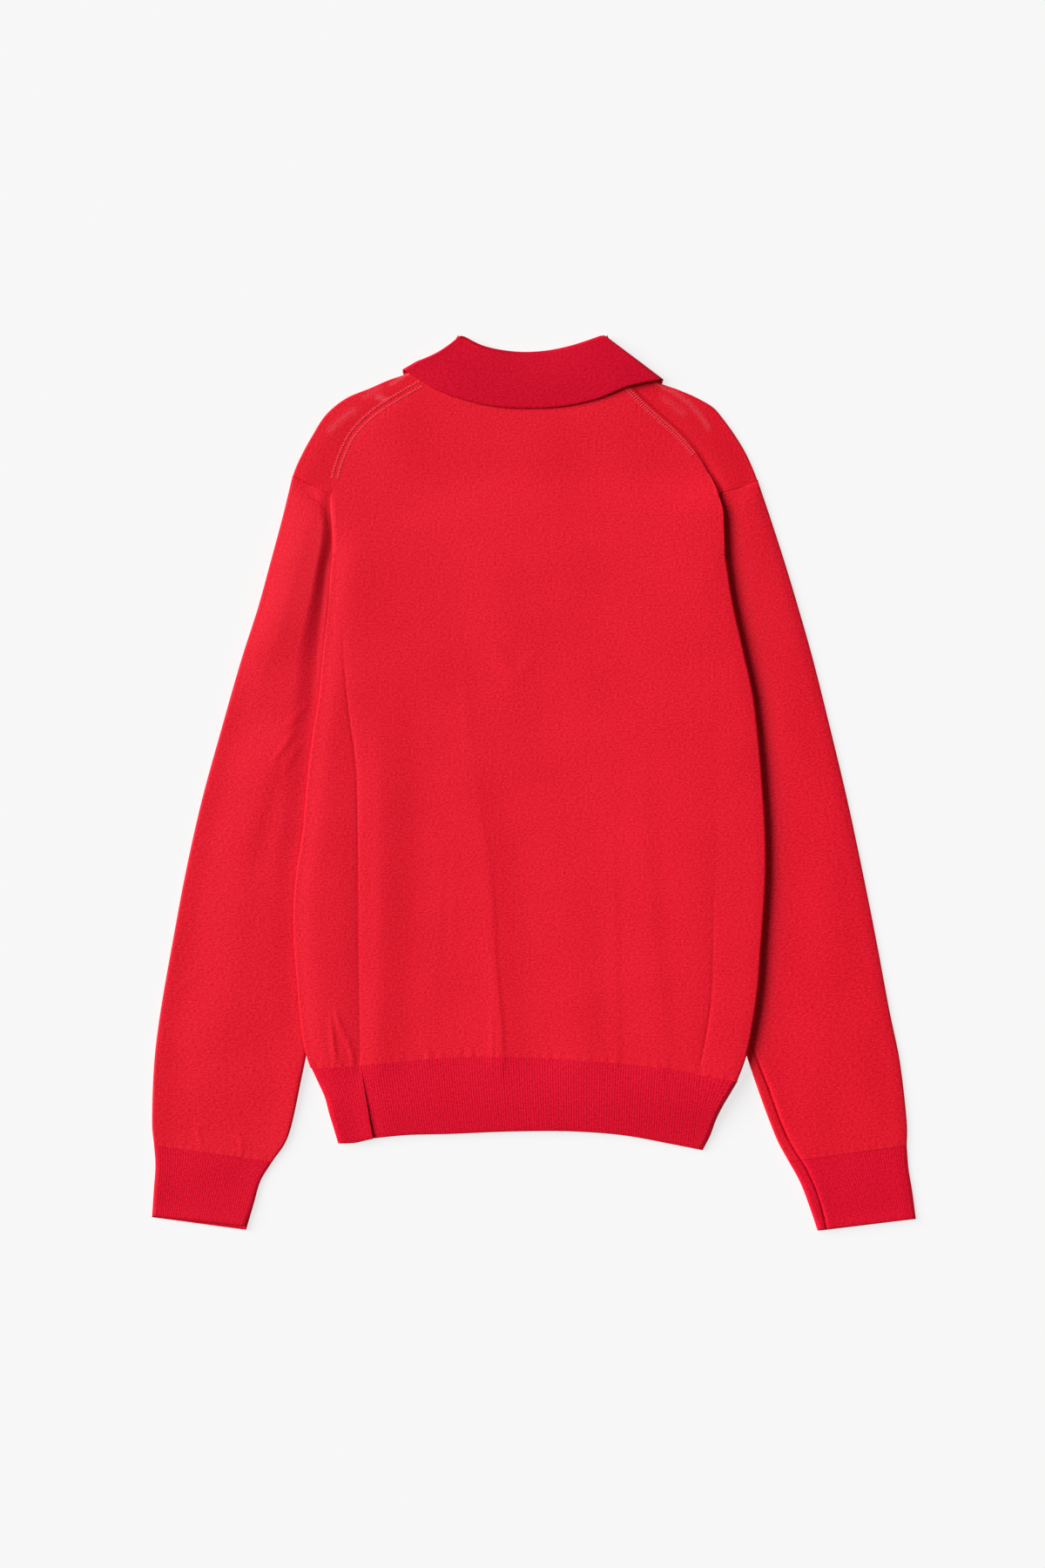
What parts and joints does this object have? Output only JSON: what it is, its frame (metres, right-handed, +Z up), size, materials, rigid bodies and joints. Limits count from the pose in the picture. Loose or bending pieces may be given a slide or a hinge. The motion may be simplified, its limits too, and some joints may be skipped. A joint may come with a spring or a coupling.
{
  "type": "zip sweater",
  "caption": "Fine-knit long-sleeved pullover with a fold-over collar, ribbed hem and cuffs and a short neck zip, laid flat face down with its sleeves beside the body.",
  "frame": {"origin": "middle of the garment's outline on the surface that it lies on", "axes": "+X across the garment towards the right of a viewer who looks down on its back, +Y from the cuffs to the collar, +Z up from the surface"},
  "size_m": [0.6588, 0.7723, 0.0099],
  "materials": {
    "plain_knit": "matte fine-gauge plain knit, clear red",
    "rib_knit": "matte narrow rib knit in the same red",
    "collar_knit": "matte dense smooth knit in the same red",
    "zip_tape": "matte woven tape, red",
    "zip_teeth": "satin moulded teeth, red",
    "zip_metal": "satin steel"
  },
  "bodies": {
    "garment": {"back": "plain_knit", "front": "plain_knit", "sleeve_left": "plain_knit", "sleeve_right": "plain_knit", "hem_back": "rib_knit", "hem_front": "rib_knit", "cuff_left": "rib_knit", "cuff_right": "rib_knit", "collar": "collar_knit", "zip_tape_left": "zip_tape", "zip_tape_right": "zip_tape", "zip_chain": "zip_teeth", "zip_slider": "zip_metal"},
    "pull": {"zip_pull": "zip_metal"}
  },
  "joints": [
    {"name": "pull_hinge", "type": "hinge", "parent": "garment", "child": "pull", "pos_m": [-0.00463, 0.25925, 0.0015], "axis": [1, 0, 0], "range_deg": [0, 150]}
  ]
}
